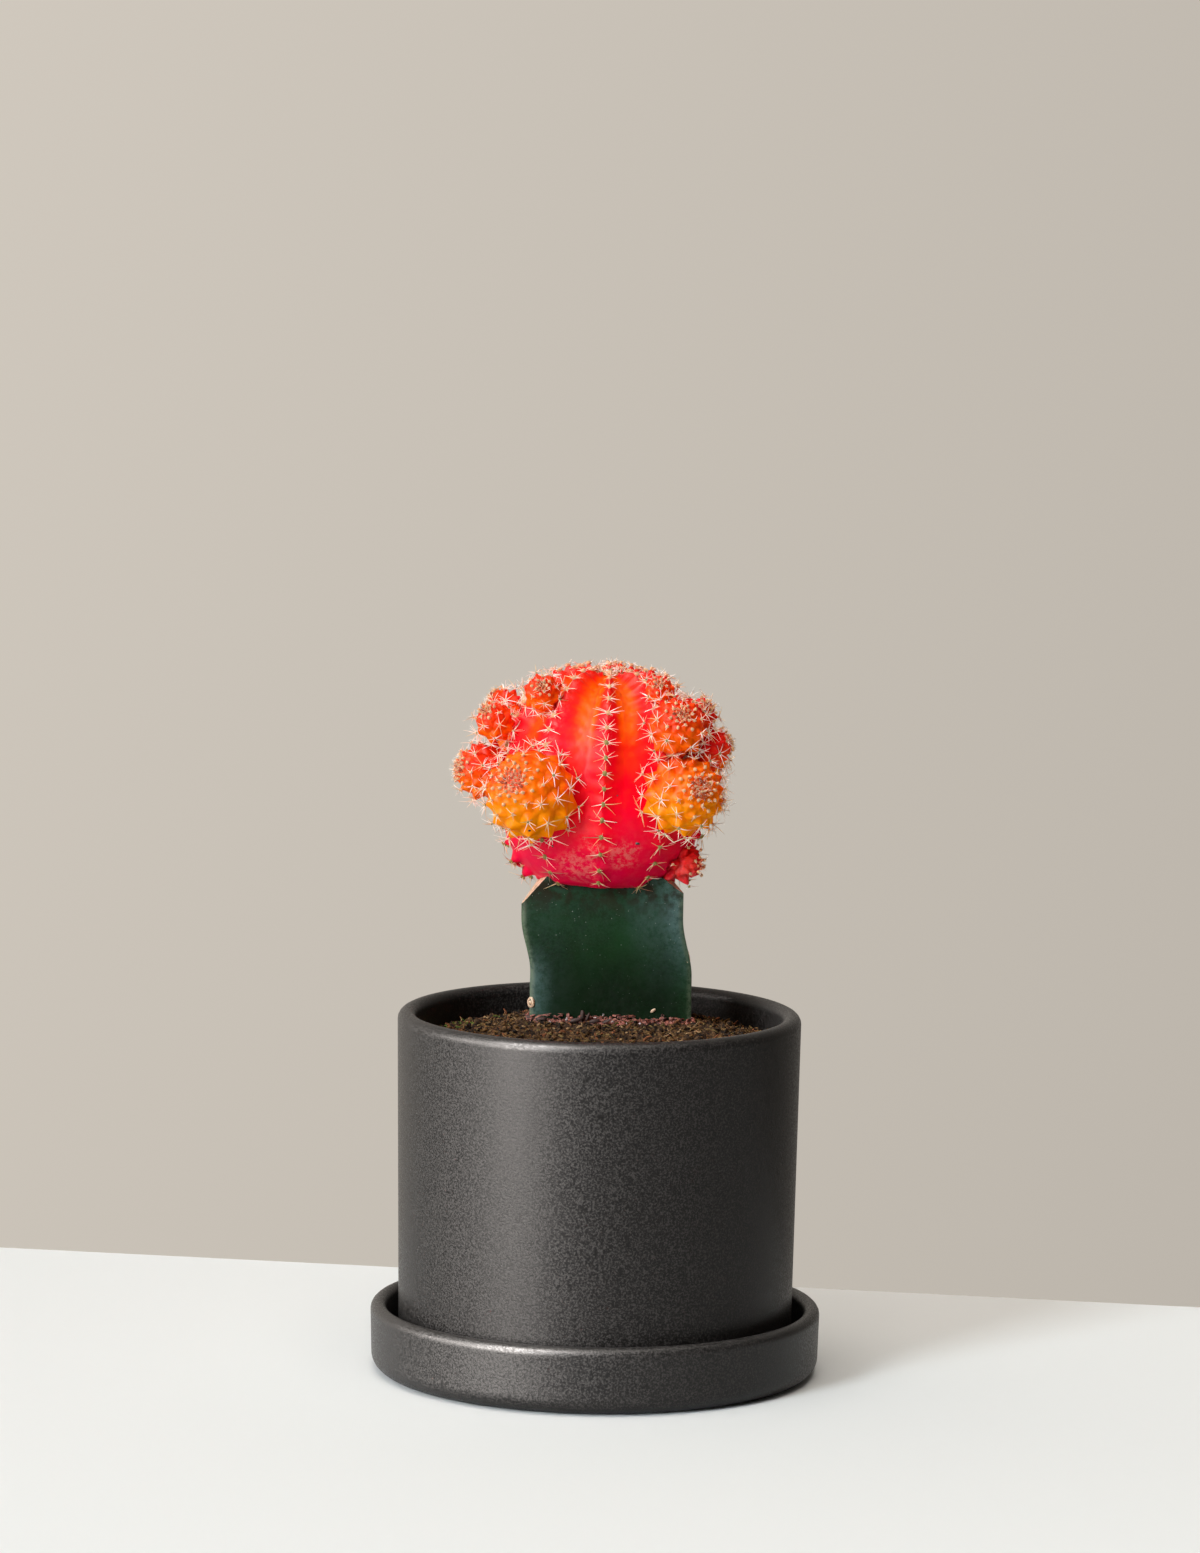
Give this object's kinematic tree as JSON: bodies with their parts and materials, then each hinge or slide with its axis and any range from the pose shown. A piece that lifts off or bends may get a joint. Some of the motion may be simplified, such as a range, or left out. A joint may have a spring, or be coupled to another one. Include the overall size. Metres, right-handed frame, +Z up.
{
  "type": "potted moon cactus",
  "caption": "Grafted moon cactus: red and orange clustered globe head on a green three-sided stem, in a round stoneware pot that stands on its saucer.",
  "frame": {"origin": "middle of the saucer's underside, at the lowest point", "axes": "+Z up along the pot's axis; -Y towards the flat front side of the stem, +X to the right"},
  "size_m": [0.1174, 0.1174, 0.1856],
  "materials": {
    "stoneware": "matte charcoal stoneware, fine speckle, soft sheen",
    "soil": "dark brown potting mix, fine crumbs",
    "mulch": "reddish-brown coir and bark bits",
    "stem": "dark green waxy skin with a grey-blue bloom along the ribs",
    "flesh_red": "bright red waxy skin, orange in the upper valleys, magenta and corky below",
    "flesh_orange": "orange waxy skin, red in the creases",
    "flesh_coral": "red-orange waxy skin, red in the creases",
    "flesh_scarlet": "deep red waxy skin"
  },
  "bodies": {
    "root": {"saucer": "stoneware", "pot": "stoneware", "soil": "soil", "coir_mulch": "mulch", "rootstock": "stem", "scion_body": "flesh_red", "offset_front_left": "flesh_orange", "offset_front_right": "flesh_orange", "offset_right_front": "flesh_coral", "offset_left": "flesh_coral", "offset_upper_left": "flesh_coral", "offset_shoulder_left": "flesh_coral", "offset_shoulder_right": "flesh_coral", "offset_right": "flesh_scarlet", "offset_upper_right": "flesh_scarlet", "offset_lower_right": "flesh_scarlet", "offset_lower_left": "flesh_scarlet", "offset_back_right": "flesh_orange", "offset_back_left": "flesh_coral", "offset_back_middle": "flesh_orange", "offset_back_upper": "flesh_coral", "offset_side_right": "flesh_scarlet", "offset_side_left": "flesh_coral"}
  },
  "joints": []
}
